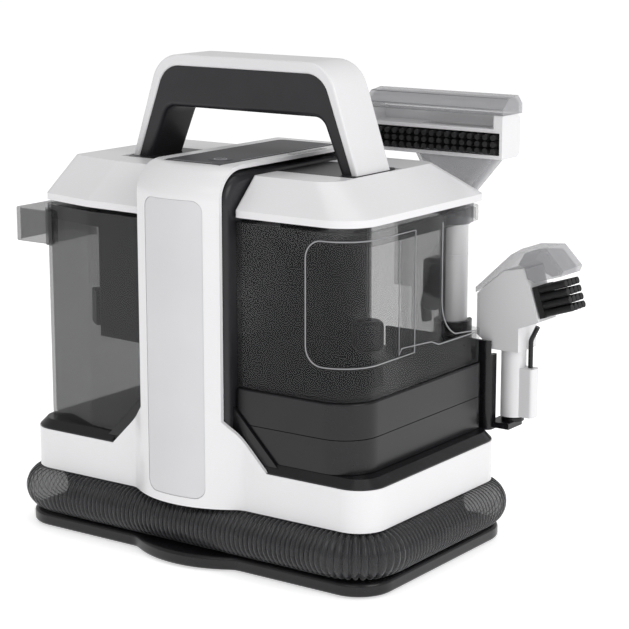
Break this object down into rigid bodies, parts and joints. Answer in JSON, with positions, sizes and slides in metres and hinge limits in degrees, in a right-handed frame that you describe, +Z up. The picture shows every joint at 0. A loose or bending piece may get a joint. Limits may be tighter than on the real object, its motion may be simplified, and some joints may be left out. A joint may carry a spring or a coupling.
{
  "type": "carpet cleaner machine",
  "caption": "Portable carpet and upholstery spot cleaner with two removable smoky tanks, a carry handle, a stowed ribbed suction hose, a wide brush nozzle and a small brush tool.",
  "frame": {"origin": "on the floor, at the underside of the middle foot, in line with the centre of the front column", "axes": "+Z up, -Y towards the front where the column is, +X to the right of a person facing the front"},
  "size_m": [0.4189, 0.2613, 0.39],
  "materials": {
    "white": "glossy moulded plastic",
    "inlay": "satin light grey plastic",
    "black": "satin black plastic",
    "charcoal": "satin charcoal plastic",
    "panel": "matt grey plastic",
    "lens": "tinted plastic",
    "smoky": "smoky clear plastic",
    "clear_grey": "light grey clear plastic",
    "clear_tube": "clear tubing",
    "hose_plastic": "smoky ribbed plastic",
    "bristle": "nylon bristle",
    "foot_rubber": "matt rubber",
    "steel": "plain steel",
    "motor_metal": "cast",
    "fan_plastic": "moulded nylon",
    "board": "circuit board",
    "foam": "open foam"
  },
  "bodies": {
    "machine": {"base_plate": "black", "rubber_feet": "foot_rubber", "base_screws": "steel", "hose_core": "black", "front_shell": "white", "rear_shell": "white", "column_inlay": "inlay", "deck_tray_right": "black", "deck_tray_left": "black", "tower_core": "charcoal", "control_panel": "panel", "circuit_board": "board", "indicator_lens": "lens", "lower_motor_case": "black", "upper_motor_case": "black", "vacuum_motor": "motor_metal", "fan_housing": "black", "water_pump": "black", "pump_shelf": "black", "pump_hose": "clear_tube", "exhaust_muffler": "foam", "foot_plate_right": "charcoal", "foot_plate_left": "charcoal", "handle_shell": "white", "handle_grip": "charcoal", "handle_screws": "steel", "valve_socket": "black", "rear_dock": "black", "wand_tube": "white", "trigger_pin": "steel", "hose": "hose_plastic", "hose_cuff": "foot_rubber", "cord_inlet": "foot_rubber"},
    "power_button": {"power_button": "panel"},
    "clean_tank": {"clean_tank_shell": "smoky", "clean_tank_deck": "black", "clean_fill_plug": "foot_rubber", "clean_tank_pull": "smoky", "filter_housing": "charcoal"},
    "clean_lid": {"clean_tank_lid": "white"},
    "clean_valve": {"valve_plunger": "black"},
    "dirty_tank": {"dirty_tank_shell": "smoky", "dirty_tank_deck": "smoky", "dirty_drain_plug": "foot_rubber", "separator_duct": "smoky", "spray_baffle": "smoky"},
    "dirty_lid": {"dirty_tank_lid": "white"},
    "float": {"float_ball": "white"},
    "fan": {"impeller": "fan_plastic"},
    "trigger": {"spray_trigger": "black"},
    "wide_nozzle": {"nozzle_neck": "clear_grey", "nozzle_frame": "white", "nozzle_cover": "clear_grey", "wide_bristles": "bristle"},
    "latch": {"nozzle_latch": "black"},
    "small_tool": {"small_tube": "white", "small_neck": "white", "small_cover": "clear_grey", "small_bristles": "bristle", "small_water_tube": "black"}
  },
  "joints": [
    {"name": "power_press", "type": "slide", "parent": "machine", "child": "power_button", "axis": [0, 0, -1], "range_m": [0, 0.0015], "stiffness_N_per_m": 600},
    {"name": "clean_tank_slide", "type": "slide", "parent": "machine", "child": "clean_tank", "axis": [-1, 0, 0], "range_m": [0, 0.12]},
    {"name": "clean_lid_hinge", "type": "hinge", "parent": "clean_tank", "child": "clean_lid", "pos_m": [-0.1575, 0.0125, 0.2755], "axis": [0, -1, 0], "range_deg": [0, 70]},
    {"name": "clean_valve_lift", "type": "slide", "parent": "clean_tank", "child": "clean_valve", "axis": [0, 0, 1], "range_m": [0, 0.003], "stiffness_N_per_m": 300},
    {"name": "dirty_tank_slide", "type": "slide", "parent": "machine", "child": "dirty_tank", "axis": [1, 0, 0], "range_m": [0, 0.12]},
    {"name": "dirty_lid_hinge", "type": "hinge", "parent": "dirty_tank", "child": "dirty_lid", "pos_m": [0.1475, 0.0125, 0.2815], "axis": [0, 1, 0], "range_deg": [0, 70]},
    {"name": "float_rise", "type": "slide", "parent": "dirty_tank", "child": "float", "axis": [0, 0, 1], "range_m": [0, 0.06]},
    {"name": "fan_spin", "type": "hinge", "parent": "machine", "child": "fan", "pos_m": [0.106, 0.002, 0.131], "axis": [0, 0, 1], "continuous": true},
    {"name": "trigger_squeeze", "type": "hinge", "parent": "machine", "child": "trigger", "pos_m": [0.0875, 0.1225, 0.203], "axis": [0, -1, 0], "range_deg": [0, 7], "stiffness_Nm_per_rad": 0.6},
    {"name": "wide_nozzle_pull", "type": "slide", "parent": "machine", "child": "wide_nozzle", "axis": [0, 0, 1], "range_m": [0, 0.03]},
    {"name": "nozzle_latch_press", "type": "slide", "parent": "wide_nozzle", "child": "latch", "axis": [0, -1, 0], "range_m": [0, 0.0015], "stiffness_N_per_m": 600},
    {"name": "small_tool_lift", "type": "slide", "parent": "machine", "child": "small_tool", "axis": [0, 0, 1], "range_m": [0, 0.035]}
  ]
}
